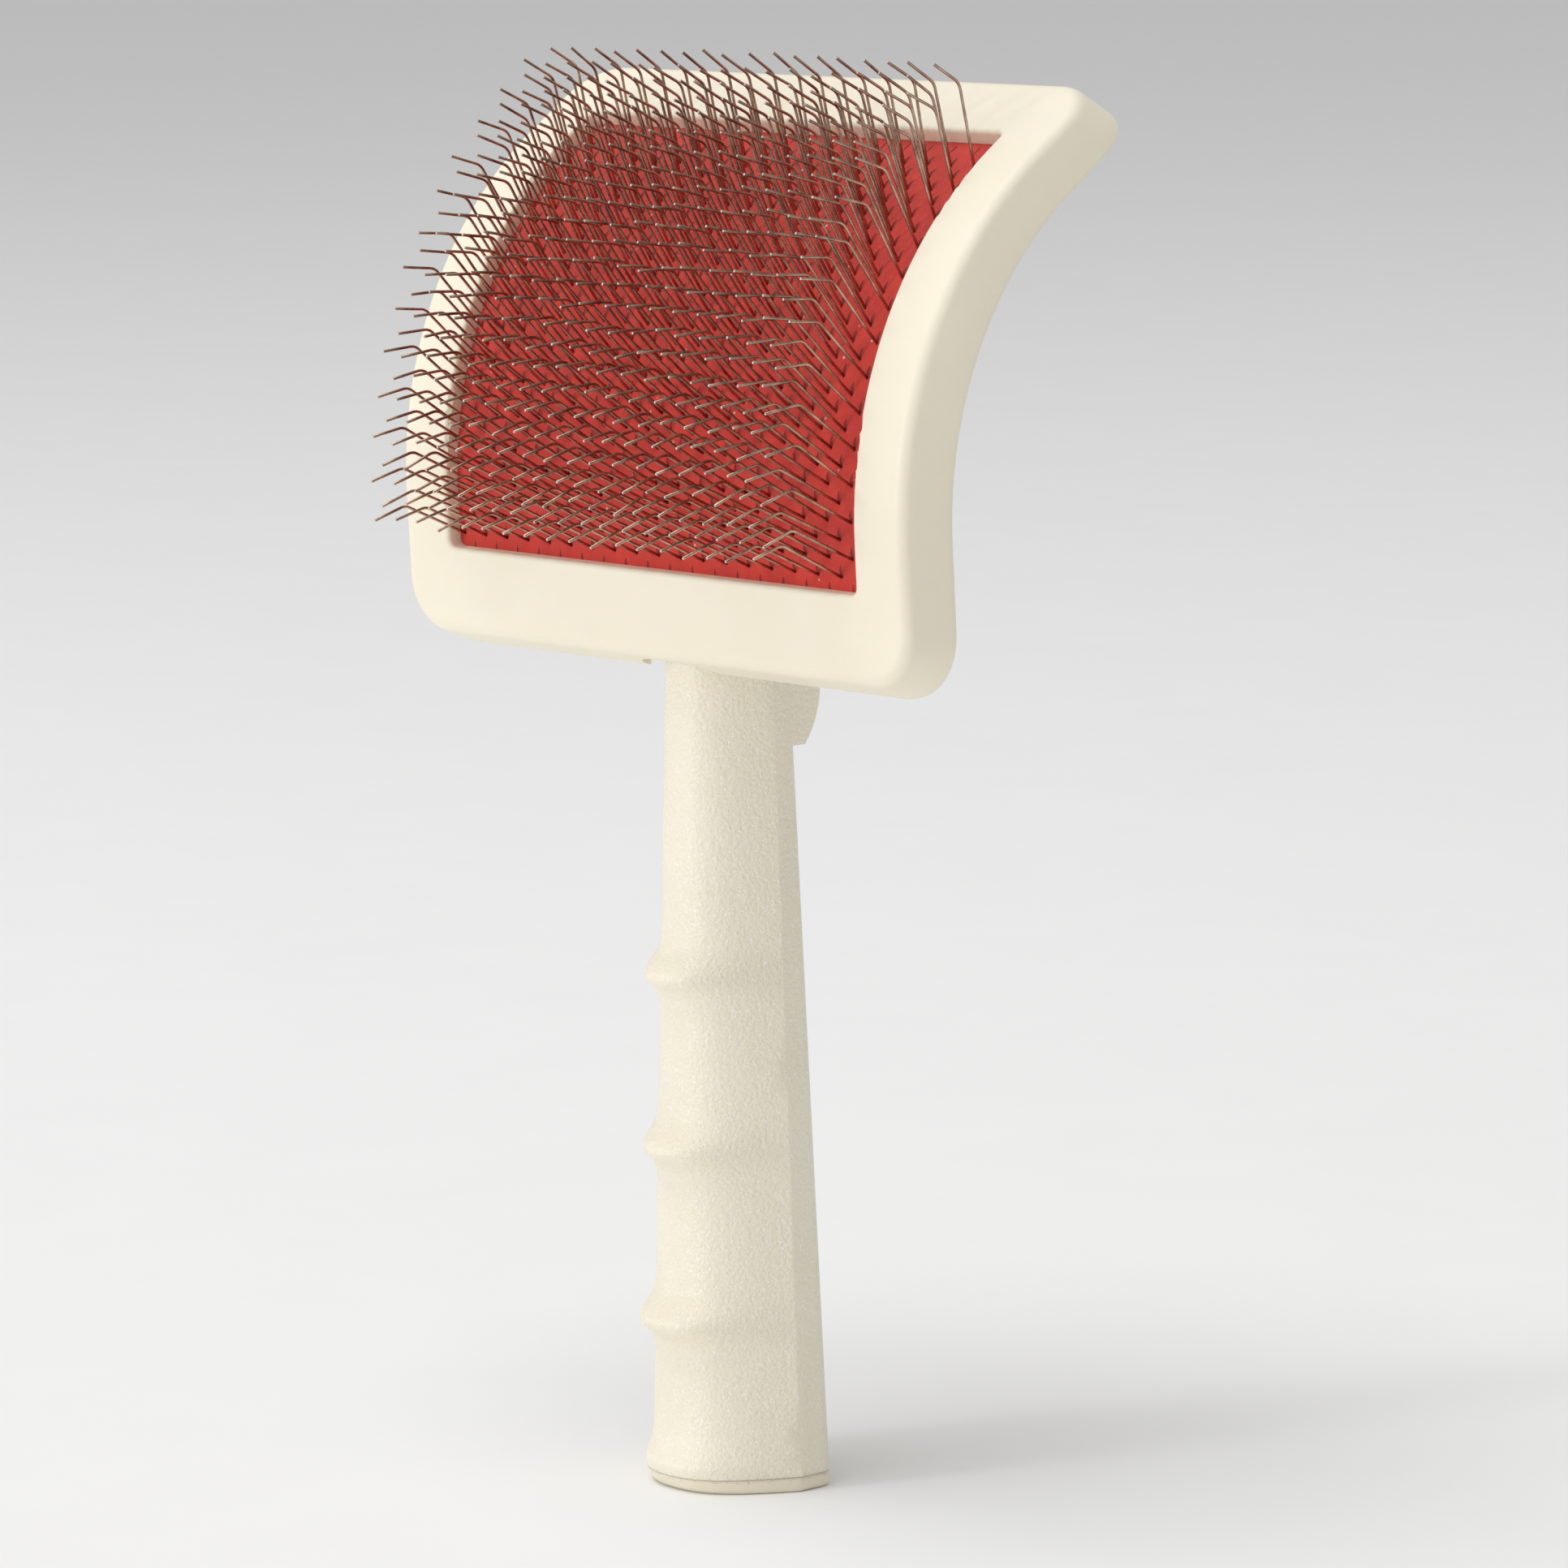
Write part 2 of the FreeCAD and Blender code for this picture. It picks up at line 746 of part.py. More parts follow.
def make_screws(label, spots, seat_depth, length):
    """Screws driven from behind, their heads seated at a depth behind the face."""
    screws = []
    turn_over = FreeCAD.Placement(vec(0, 0, 0), FreeCAD.Rotation(vec(1, 0, 0), 180))
    for x, up in spots:
        screw = make_screw(length)
        screw.Placement = face_placement(x, up, seat_depth).multiply(turn_over)
        screws.append(screw)
    node = doc.addObject("Part::Feature", label)
    node.Shape = Part.makeCompound(screws)
    return node


# ---------------------------------------------------------------------- assembly


def make_all():
    facing_front = size("rim_thickness")
    foundation_front = facing_front + size("facing_thickness")
    cushion_front = foundation_front + size("foundation_thickness")
    crown = 2 * size("wire_radius") + size("fit_gap")
    holes = pin_holes()
    nodes = [
        make_head_frame(make_frame_shell()),
        make_pierced_layer("pad_facing", facing_front, foundation_front, holes),
        make_pierced_layer("pad_foundation", foundation_front, cushion_front, holes),
        make_layer("pad_cushion", cushion_front + crown, plate_front(), pad_edge(), PAD_WIDTH),
        make_back_plate(),
        make_handle(),
        make_end_cap(),
    ]
    for row in range(int(size("pin_rows"))):
        nodes.append(make_staple_row(row))
    plate_spots = [spot for spot in boss_spots() if abs(spot[0]) > size("handle_screw_x")]
    handle_spots = [spot for spot in boss_spots() if abs(spot[0]) <= size("handle_screw_x")]
    plate_back = plate_front() + size("plate_thickness")
    plate_seat = plate_back - size("plate_seat_depth")
    nodes.append(make_screws("plate_screws", plate_spots, plate_seat, size("screw_length")))
    grip = size("handle_screw_grip")
    handle_screw = size("screw_length") + size("plate_seat_depth") + grip
    nodes.append(make_screws("handle_screws", handle_spots, plate_back + grip, handle_screw))
    return nodes


def check_and_export(nodes):
    for thing in doc.Objects:
        if "Invalid" in thing.State or "Error" in thing.State:
            raise ValueError(f"{thing.Name}: {thing.State}")
    for node in nodes:
        shape = node.Shape
        if shape.isNull() or not shape.isValid() or not shape.Solids:
            raise ValueError(f"{node.Label} has no valid solid")
        shape.exportStep(f"parts/{node.Label}.step")
        box = shape.BoundBox
        print(
            f"{node.Label}: {len(shape.Solids)} solid(s), {shape.Volume:.1f} mm3, "
            f"{box.XLength:.1f} x {box.YLength:.1f} x {box.ZLength:.1f} mm"
        )


if __name__ == "__main__":
    check_and_export(make_all())
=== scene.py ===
import math
import random

import bpy
import numpy as np
from mathutils import Matrix, Vector


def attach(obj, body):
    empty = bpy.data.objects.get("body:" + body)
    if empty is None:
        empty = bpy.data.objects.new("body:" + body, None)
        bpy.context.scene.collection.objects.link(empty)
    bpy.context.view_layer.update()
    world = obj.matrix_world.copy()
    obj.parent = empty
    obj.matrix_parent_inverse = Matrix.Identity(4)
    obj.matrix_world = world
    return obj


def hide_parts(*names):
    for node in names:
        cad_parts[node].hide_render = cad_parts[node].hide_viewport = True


# Slicker brush: cream moulded head and grip, red pin pad, hooked wire pins.
# Lengths are in millimetres and become metres through MM, except in the last
# section, with the floor, lights and camera, which is in metres.

MM = 0.001
PER_MM = 1000.0              # turns object coordinates, in metres, to millimetres
DEGREE = math.pi / 180
rng = random.Random(722)

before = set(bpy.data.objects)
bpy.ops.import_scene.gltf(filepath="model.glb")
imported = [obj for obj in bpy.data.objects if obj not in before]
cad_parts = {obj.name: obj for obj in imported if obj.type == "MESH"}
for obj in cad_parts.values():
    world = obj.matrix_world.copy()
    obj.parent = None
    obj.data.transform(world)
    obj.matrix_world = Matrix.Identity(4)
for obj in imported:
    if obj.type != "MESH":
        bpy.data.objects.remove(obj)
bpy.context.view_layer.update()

# The face of the head in side view: straight, bent through an arc, straight.
FOOT_Y = -14.3
FOOT_Z = 117.45
LOW_TILT = -3.0 * DEGREE
HIGH_TILT = 55.0 * DEGREE
BEND_RADIUS = 60.0
LOW_STRAIGHT = 21.9
BEND_LENGTH = BEND_RADIUS * (HIGH_TILT - LOW_TILT)
HIGH_STRAIGHT = 17.7
FACE_LENGTH = LOW_STRAIGHT + BEND_LENGTH + HIGH_STRAIGHT

RIM = 2.4                    # depth of the pad's face behind the rim
FACING = 0.9
PAD_HALF_WIDTH = 46.6
PAD_LOW = 11.3
PAD_HIGH = FACE_LENGTH - PAD_LOW
PAD_COLUMNS = 260            # points of the facing's grid across and along
PAD_LINES = 216
PAD_LIFT = 0.02              # front of the facing before its nominal face
DIMPLE_DEPTH, DIMPLE_REACH = 0.30, 0.55
LIP_HEIGHT, LIP_REACH, LIP_ABOVE = 0.16, 0.6, 0.75
RELIEF_SHARE = 0.8           # of the dimples and lips, kept on the front
SWELL, SWELL_SHARE = 0.12, 0.3                 # slow unevenness of the rubber

PIN_ROWS = 26
PINS_PER_ROW = 18
PIN_PITCH = 4.7
ROW_PITCH = 2.59
FIRST_ROW = 16.8
PIN_SHIFT = -1.0
WIRE_RADIUS = 0.21
LOW_LEAN, HIGH_LEAN = 27.0, 22.0     # degrees, at the lowest and highest rows
LOW_HOOK, HIGH_HOOK = 14.0, 23.0
LEG = 12.0
HOOK = 5.8
KNEE_RADIUS = 2.2
BURIED = 2.1                 # length of the leg inside the pad
LEG_POINT = 0.3              # share of the leg with one extra point
KNEE_STEPS = 6
TIP_LENGTH = 0.05
TIP_SHARE = 0.8              # radius of the cut end, as a share of the wire's
WIRE_SIDES = 10
LEAN_SPREAD, HOOK_SPREAD = 1.2, 2.0            # degrees, from pin to pin
LEG_SPREAD, HOOK_LENGTH_SPREAD = 0.012, 0.03   # shares of the length
SWAY_SPREAD, TWIST_SPREAD = 0.014, 0.03        # sideways drift of leg and hook
SEAM_HEIGHT = 2.2            # of the line between cap and grip
WELD = 2e-6                  # metres; points closer than this are one
CREASE_ANGLE = 30 * DEGREE   # edges of a moulding bent more than this stay sharp

PLASTIC_IOR = 1.49
SCATTER_RADIUS = (0.004, 0.0032, 0.002)
WEAVE_PITCH = 0.30
GROOVE_RIGHT, GROOVE_ABOVE = 0.12, 0.85        # from the pin to its pull mark
GROOVE_WIDTH, GROOVE_HEIGHT = 0.26, 0.95
MIX_FIRST, MIX_SECOND, MIX_RESULT = 6, 7, 2    # colour sockets of the Mix node


def face_tilt(up):
    """Backward tilt of the face, in radians, at a distance up from its foot."""
    into_bend = np.clip((up - LOW_STRAIGHT) / BEND_LENGTH, 0, 1)
    return LOW_TILT + (HIGH_TILT - LOW_TILT) * into_bend


def face_points(x, up, depth):
    """Points in metres, given across, up along the face and behind it in mm."""
    tilt = face_tilt(up)
    below = np.minimum(up, LOW_STRAIGHT)
    beyond = np.maximum(up - LOW_STRAIGHT - BEND_LENGTH, 0)
    y = FOOT_Y + below * math.sin(LOW_TILT) + beyond * math.sin(HIGH_TILT)
    z = FOOT_Z + below * math.cos(LOW_TILT) + beyond * math.cos(HIGH_TILT)
    y = y + BEND_RADIUS * (math.cos(LOW_TILT) - np.cos(tilt)) + depth * np.cos(tilt)
    z = z + BEND_RADIUS * (np.sin(tilt) - math.sin(LOW_TILT)) - depth * np.sin(tilt)
    return np.stack(np.broadcast_arrays(x, y, z), axis=-1) * MM


def pin_xs(row):
    """X of every pin in a row; odd rows sit half a pitch to the right."""
    start = PIN_SHIFT - (PINS_PER_ROW - 0.5) / 2 * PIN_PITCH + (row % 2) * PIN_PITCH / 2
    return [start + pin * PIN_PITCH for pin in range(PINS_PER_ROW)]


def new_object(name, vertices, faces, materials):
    """A smooth-shaded mesh object made from plain lists."""
    mesh = bpy.data.meshes.new(name)
    mesh.from_pydata([tuple(v) for v in vertices], [], faces)
    mesh.update()
    for material in materials:
        mesh.materials.append(material)
    for polygon in mesh.polygons:
        polygon.use_smooth = True
    thing = bpy.data.objects.new(name, mesh)
    bpy.context.scene.collection.objects.link(thing)
    return thing


# -------------------------------------------------------------------- materials


class Shader:
    """Small helper that adds and links nodes of one material."""

    def __init__(self, name):
        self.material = bpy.data.materials.new(name)
        self.material.use_nodes = True
        self.tree = self.material.node_tree
        self.surface = self.tree.nodes["Principled BSDF"]

    def add(self, kind, **inputs):
        node = self.tree.nodes.new(kind)
        for label, value in inputs.items():
            self.feed(node, label.replace("_", " "), value)
        return node

    def plug(self, socket, value):
        """Links another node's output to a socket, or sets a plain value on it."""
        if isinstance(value, bpy.types.NodeSocket):
            self.tree.links.new(value, socket)
        else:
            socket.default_value = value

    def feed(self, node, label, value):
        self.plug(node.inputs[label], value)

    def scaled(self, kind, scale):
        coordinates = self.tree.nodes.new("ShaderNodeTexCoord")
        mapping = self.tree.nodes.new("ShaderNodeMapping")
        self.feed(mapping, "Vector", coordinates.outputs[kind])
        self.feed(mapping, "Scale", (scale, scale, scale))
        return mapping.outputs["Vector"]

    def place(self, scale=PER_MM):
        """Object coordinates, in millimetres unless another scale is given."""
        return self.scaled("Object", scale)

    def cloth(self):
        """The UV map, which carries millimetres on the pad facing."""
        return self.scaled("UV", 1.0)

    def noise(self, vector, scale, detail=2.0, roughness=0.5):
        node = self.add(
            "ShaderNodeTexNoise", Vector=vector, Scale=scale, Detail=detail,
            Roughness=roughness,
        )
        return node.outputs["Fac"]

    def remap(self, value, low, high, to_low=0.0, to_high=1.0):
        """Value from the range low to high, clamped, moved to another range."""
        node = self.tree.nodes.new("ShaderNodeMapRange")
        self.feed(node, "Value", value)
        self.feed(node, "From Min", low)
        self.feed(node, "From Max", high)
        self.feed(node, "To Min", to_low)
        self.feed(node, "To Max", to_high)
        return node.outputs["Result"]

    def blend(self, factor, first, second):
        """Colour that turns from first to second as factor goes from 0 to 1."""
        node = self.tree.nodes.new("ShaderNodeMix")
        node.data_type = "RGBA"
        self.feed(node, "Factor", factor)
        for number, value in ((MIX_FIRST, first), (MIX_SECOND, second)):
            if isinstance(value, tuple):
                value = (*value, 1.0)
            self.plug(node.inputs[number], value)
        return node.outputs[MIX_RESULT]

    def calc(self, operation, first, second=0.0):
        node = self.tree.nodes.new("ShaderNodeMath")
        node.operation = operation
        for socket, value in zip(node.inputs, (first, second)):
            self.plug(socket, value)
        return node.outputs["Value"]

    def seam_shade_and_dirt(self, place, clean):
        """Colour darkened in a broken thin line where the cap meets the grip: painted shade
        along the joint, with specks of dirt beside it.
        """
        height = self.add("ShaderNodeSeparateXYZ", Vector=place).outputs["Z"]
        away = self.calc("ABSOLUTE", self.calc("SUBTRACT", height, SEAM_HEIGHT))
        # painted shade: a solid dark line along the joint; the specks below are dirt
        line = self.remap(away, 0.05, 0.16, 0.55, 0.0)
        halo = self.remap(away, 0.1, 0.8, 1.0, 0.0)
        specks = self.remap(self.noise(place, 1.3, 4.0, 0.7), 0.54, 0.66)
        dirt = self.calc("MULTIPLY", self.calc("MULTIPLY", halo, specks), 0.5)
        return self.blend(self.calc("MAXIMUM", line, dirt), clean, (0.24, 0.18, 0.11))

    def bump(self, height, distance, strength=1.0, under=None):
        """Normal of a relief, distance in metres, over another normal if given."""
        node = self.add("ShaderNodeBump", Height=height, Distance=distance, Strength=strength)
        if under is not None:
            self.feed(node, "Normal", under)
        return node.outputs["Normal"]

    def set(self, **inputs):
        """Sets or links the surface's own sockets and gives the material."""
        for label, value in inputs.items():
            name = label.replace("_", " ")
            if isinstance(value, tuple) and len(value) == 3 and name.endswith("Color"):
                value = (*value, 1.0)
            self.feed(self.surface, name, value)
        return self.material


def smooth_plastic():
    """Ivory moulding of the head: satin, slightly translucent, faintly uneven."""
    s = Shader("smooth_ivory")
    place = s.place()
    clouds = s.noise(place, 0.035, 3.0)
    colour = s.blend(s.remap(clouds, 0.35, 0.65), (0.86, 0.79, 0.635), (0.89, 0.825, 0.67))
    waviness = s.noise(place, 0.12, 2.0)
    pores = s.noise(place, 3.5, 3.0, 0.6)
    normal = s.bump(waviness, 0.00012)
    normal = s.bump(pores, 0.000012, 1.0, normal)
    rough = s.remap(s.noise(place, 0.25, 4.0), 0.3, 0.7, 0.44, 0.56)
    return s.set(
        Base_Color=colour, Roughness=rough, Normal=normal, IOR=PLASTIC_IOR,
        Subsurface_Weight=0.12, Subsurface_Radius=SCATTER_RADIUS,
        Subsurface_Scale=1.0, Specular_IOR_Level=0.45,
    )


def grained_plastic():
    """Ivory moulding of the grip: fine spark-eroded grain with bright glints, painted into the
    colour as highlights where the surface is also made glossier.
    """
    s = Shader("grained_ivory")
    place = s.place()
    clouds = s.noise(place, 0.05, 3.0)
    body = s.blend(s.remap(clouds, 0.35, 0.65), (0.86, 0.795, 0.64), (0.89, 0.83, 0.675))
    grain = s.noise(place, 1.7, 2.0, 0.55)
    glints = s.remap(s.noise(place, 3.2, 1.0), 0.60, 0.70)
    # painted highlight: the glint specks turn the colour toward near-white
    colour = s.blend(s.calc("MULTIPLY", glints, 0.85), body, (0.98, 0.96, 0.90))
    normal = s.bump(grain, 0.00022)
    rough = s.remap(glints, 0.0, 1.0, 0.42, 0.2)
    return s.set(
        Base_Color=s.seam_shade_and_dirt(place, colour), Roughness=rough, Normal=normal, IOR=PLASTIC_IOR,
        Subsurface_Weight=0.1, Subsurface_Radius=SCATTER_RADIUS,
        Subsurface_Scale=1.0,
    )


def cap_plastic():
    """Smooth end cap with a thin line of painted shade along its seam, flecked with handling
    dirt.
    """
    s = Shader("cap_ivory")
    place = s.place()
    clouds = s.noise(place, 0.08, 3.0)
    clean = s.blend(s.remap(clouds, 0.35, 0.65), (0.82, 0.75, 0.59), (0.85, 0.78, 0.62))
    colour = s.seam_shade_and_dirt(place, clean)
    normal = s.bump(s.noise(place, 0.9, 3.0), 0.00004)
    return s.set(
        Base_Color=colour, Roughness=0.36, Normal=normal, IOR=PLASTIC_IOR,
        Subsurface_Weight=0.1, Subsurface_Radius=SCATTER_RADIUS,
        Subsurface_Scale=1.0,
    )


def pin_grooves(s, parts, row):
    """Mask of narrow pull marks in the rubber just above the pins of every other row, for their
    relief and their painted shade.
    """
    across = s.calc("SUBTRACT", parts.outputs["X"], pin_xs(row)[0] + GROOVE_RIGHT)
    height = FIRST_ROW + row * ROW_PITCH + GROOVE_ABOVE
    above = s.calc("SUBTRACT", parts.outputs["Y"], height)
    sizes = ((across, PIN_PITCH, GROOVE_WIDTH), (above, 2 * ROW_PITCH, GROOVE_HEIGHT))
    total = 0.0
    for value, period, reach in sizes:
        steps = s.calc("ROUND", s.calc("DIVIDE", value, period))
        away = s.calc("SUBTRACT", value, s.calc("MULTIPLY", steps, period))
        share = s.calc("DIVIDE", away, reach)
        total = s.calc("ADD", total, s.calc("MULTIPLY", share, share))
    return s.remap(total, 0.15, 1.0, 1.0, 0.0)


def red_facing():
    """Bright red rubber over fine cloth: the weave shows, with painted highlights on its
    threads, white lint specks and painted shade in the pull marks above the pins.
    """
    s = Shader("red_facing")
    cloth = s.cloth()
    parts = s.add("ShaderNodeSeparateXYZ", Vector=cloth)
    turn = 2 * math.pi / WEAVE_PITCH
    warp = s.calc("SINE", s.calc("MULTIPLY", parts.outputs["X"], turn))
    weft = s.calc("SINE", s.calc("MULTIPLY", parts.outputs["Y"], turn))
    weave = s.calc("MULTIPLY", warp, weft)
    clouds = s.noise(cloth, 0.16, 4.0, 0.6)
    deep = (0.58, 0.018, 0.011)
    bright = (0.82, 0.042, 0.024)
    base = s.blend(s.remap(clouds, 0.3, 0.7), deep, bright)
    # painted highlight: the crests of the weave are lightened toward a paler red
    base = s.blend(s.remap(weave, -1.0, 1.0, 0.0, 0.22), base, (0.82, 0.11, 0.07))
    cells = s.add("ShaderNodeTexVoronoi", Vector=cloth, Scale=0.33)
    near = s.remap(cells.outputs["Distance"], 0.05, 0.09, 1.0, 0.0)
    lint = s.calc("MULTIPLY", near, s.remap(s.noise(cloth, 0.9, 3.0), 0.44, 0.52))
    grooves_and_shade = s.calc("MAXIMUM", pin_grooves(s, parts, 0), pin_grooves(s, parts, 1))
    # painted shade: the colour darkens inside the pull marks above the pins
    base = s.blend(s.calc("MULTIPLY", grooves_and_shade, 0.6), base, (0.16, 0.006, 0.004))
    colour = s.blend(s.calc("MULTIPLY", lint, 0.8), base, (0.86, 0.74, 0.68))
    normal = s.bump(weave, 0.00005)
    normal = s.bump(s.calc("SUBTRACT", 1.0, grooves_and_shade), 0.0003, 1.0, normal)
    normal = s.bump(s.noise(cloth, 2.2, 3.0), 0.00005, 1.0, normal)
    return s.set(
        Base_Color=colour, Roughness=0.62, Normal=normal,
        Sheen_Weight=0.15, Sheen_Roughness=0.5, Specular_IOR_Level=0.35,
    )


def woven_foundation():
    """Undyed cotton cloth behind the rubber."""
    s = Shader("woven_foundation")
    place = s.place()
    threads = s.noise(place, 2.4, 3.0)
    colour = s.blend(threads, (0.56, 0.49, 0.36), (0.72, 0.66, 0.52))
    return s.set(Base_Color=colour, Roughness=0.85, Normal=s.bump(threads, 0.0001))


def foam_cushion():
    """Open-celled foam, pale and matt."""
    s = Shader("foam_cushion")
    place = s.place()
    cells = s.add("ShaderNodeTexVoronoi", Vector=place, Scale=2.0).outputs["Distance"]
    colour = s.blend(cells, (0.62, 0.56, 0.42), (0.74, 0.69, 0.56))
    return s.set(Base_Color=colour, Roughness=0.9, Normal=s.bump(cells, 0.0002))


def drawn_wire():
    """Spring wire with long drawing marks, slightly oxidised; patches of dark red-brown are
    painted reflection of the red pad and the dark surroundings.
    """
    s = Shader("drawn_wire")
    place = s.place()
    # painted reflection mixed with oxide: the colour turns dark red-brown in patches
    tarnish_and_reflection = s.remap(s.noise(place, 0.35, 3.0), 0.35, 0.7)
    colour = s.blend(tarnish_and_reflection, (0.55, 0.42, 0.32), (0.24, 0.13, 0.10))
    rough = s.remap(s.noise(place, 2.5, 2.0), 0.3, 0.7, 0.20, 0.34)
    return s.set(
        Base_Color=colour, Metallic=1.0, Roughness=rough,
        Normal=s.bump(s.noise(place, 1.5, 1.0), 0.00001),
    )


def cut_end():
    """Freshly cut, slightly burnished wire ends."""
    s = Shader("cut_wire_end")
    place = s.place()
    shine = s.noise(place, 5.0, 2.0)
    colour = s.blend(shine, (0.62, 0.57, 0.53), (0.78, 0.74, 0.70))
    return s.set(Base_Color=colour, Metallic=0.6, Roughness=0.32)


def zinc_screw():
    """Bright zinc plating with faint streaks."""
    s = Shader("zinc_screw")
    place = s.place()
    streaks = s.noise(place, 1.6, 4.0)
    colour = s.blend(streaks, (0.50, 0.50, 0.50), (0.70, 0.70, 0.68))
    return s.set(
        Base_Color=colour, Metallic=1.0, Roughness=s.remap(streaks, 0.3, 0.7, 0.25, 0.4),
        Normal=s.bump(streaks, 0.00002),
    )


def pale_floor():
    """Matt studio floor, nearly white."""
    s = Shader("pale_floor")
    place = s.place(40.0)
    tone = s.noise(place, 1.0, 3.0)
    colour = s.blend(tone, (0.93, 0.93, 0.928), (0.96, 0.96, 0.958))
    return s.set(Base_Color=colour, Roughness=0.8)


# ---------------------------------------------------------------- CAD node looks


def dress(name, material):
    """Gives a CAD node that keeps its own mesh its material."""
    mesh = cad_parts[name].data
    mesh.materials.clear()
    mesh.materials.append(material)


def dress_smooth(name, material):
    """Stands for a moulding with one joined skin, so that it shades evenly."""
    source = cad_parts[name].data
    points = np.empty(3 * len(source.vertices), dtype=np.float32)
    source.vertices.foreach_get("co", points)
    steps = np.round(points.reshape(-1, 3) / WELD).astype(np.int64)
    unique, joined = np.unique(steps, axis=0, return_inverse=True)
    joined = joined.ravel()
    faces = []
    for polygon in source.polygons:
        corners = [int(joined[v]) for v in polygon.vertices]
        if len(set(corners)) == len(corners):
            faces.append(corners)
    skin = new_object(name + "_skin", unique * WELD, faces, [material])
    skin.data.set_sharp_from_angle(angle=CREASE_ANGLE)
    even = skin.modifiers.new("even_shading", "WEIGHTED_NORMAL")
    even.keep_sharp = True
    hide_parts(name)
    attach(skin, "root")


def dress_cad_nodes():
    """Materials of the CAD nodes: four get a joined skin, four keep their mesh."""
    head = smooth_plastic()
    dress_smooth("head_frame", head)
    dress_smooth("back_plate", head)
    dress_smooth("handle", grained_plastic())
    dress_smooth("end_cap", cap_plastic())
    dress("pad_foundation", woven_foundation())
    dress("pad_cushion", foam_cushion())
    dress("plate_screws", zinc_screw())
    dress("handle_screws", zinc_screw())


# --------------------------------------------------------------------- pad facing


def pin_relief(x, up):
    """Height in mm: the facing sinks around the nearest pin and lifts above it."""
    row = np.clip(np.round((up - FIRST_ROW) / ROW_PITCH), 0, PIN_ROWS - 1)
    start = pin_xs(0)[0] + (row % 2) * PIN_PITCH / 2
    pin = np.clip(np.round((x - start) / PIN_PITCH), 0, PINS_PER_ROW - 1)
    across = x - start - pin * PIN_PITCH
    along = up - FIRST_ROW - row * ROW_PITCH
    reach = np.hypot(across, along)
    lip = np.hypot(across, along - LIP_ABOVE)
    sink = DIMPLE_DEPTH * np.exp(-((reach / DIMPLE_REACH) ** 2))
    return LIP_HEIGHT * np.exp(-((lip / LIP_REACH) ** 2)) - sink


def sheet_faces(rows, columns):
    """Faces of a closed sheet: a front grid, a back grid and the edge between."""
    count = rows * columns
    faces = []
    for r in range(rows - 1):
        for c in range(columns - 1):
            a = r * columns + c
            quad = (a, a + 1, a + columns + 1, a + columns)
            faces.append(quad)
            faces.append(tuple(count + v for v in reversed(quad)))
    rim = list(range(columns))
    rim += [r * columns + columns - 1 for r in range(1, rows)]
    rim += [(rows - 1) * columns + c for c in range(columns - 2, -1, -1)]
    rim += [r * columns for r in range(rows - 2, 0, -1)]
    for a, b in zip(rim, rim[1:] + rim[:1]):
        faces.append((b, a, count + a, count + b))
    return faces


def make_facing(material):
    """Fine curved sheet with a dimple at every pin; UV carries millimetres."""
    across = np.linspace(-PAD_HALF_WIDTH, PAD_HALF_WIDTH, PAD_COLUMNS)
    along = np.linspace(PAD_LOW, PAD_HIGH, PAD_LINES)
    x, up = np.meshgrid(across, along)
    swell = SWELL * np.sin(x * 0.21 + 0.7) * np.sin(up * 0.17)
    relief = pin_relief(x, up) * RELIEF_SHARE
    front = face_points(x, up, RIM - PAD_LIFT - relief - SWELL_SHARE * np.abs(swell))
    back = face_points(x, up, RIM + FACING)
    vertices = np.concatenate([front.reshape(-1, 3), back.reshape(-1, 3)])
    facing = new_object("red_pad_facing", vertices, sheet_faces(*x.shape), [material])
    flat = np.concatenate([np.stack([x, up], -1).reshape(-1, 2)] * 2)
    layer = facing.data.uv_layers.new(name="UVMap")
    corner_vertices = np.empty(len(facing.data.loops), dtype=np.int32)
    facing.data.loops.foreach_get("vertex_index", corner_vertices)
    layer.data.foreach_set("uv", flat[corner_vertices].astype(np.float32).ravel())
    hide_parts("pad_facing")
    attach(facing, "root")


# ---------------------------------------------------------------------- wire pins


def pin_path(lean, hook, leg, hook_length):
    """Side view of one pin in its own plane: out of the face and up along it."""
    leg_way = np.array([math.cos(lean), math.sin(lean)])
    hook_way = np.array([math.cos(hook), -math.sin(hook)])
    knee = leg_way * leg
    turn = lean + hook
    reach = KNEE_RADIUS * math.tan(turn / 2)
    centre = knee - leg_way * reach + KNEE_RADIUS * np.array([leg_way[1], -leg_way[0]])
    points = [-BURIED * leg_way, LEG_POINT * knee]
    for step in range(KNEE_STEPS + 1):
        angle = lean - turn * step / KNEE_STEPS
        out = np.array([-math.sin(angle), math.cos(angle)])
        points.append(centre + KNEE_RADIUS * out)
    end = knee + hook_way * hook_length
    points.append(end - hook_way * TIP_LENGTH)
    points.append(end)
    return np.array(points)


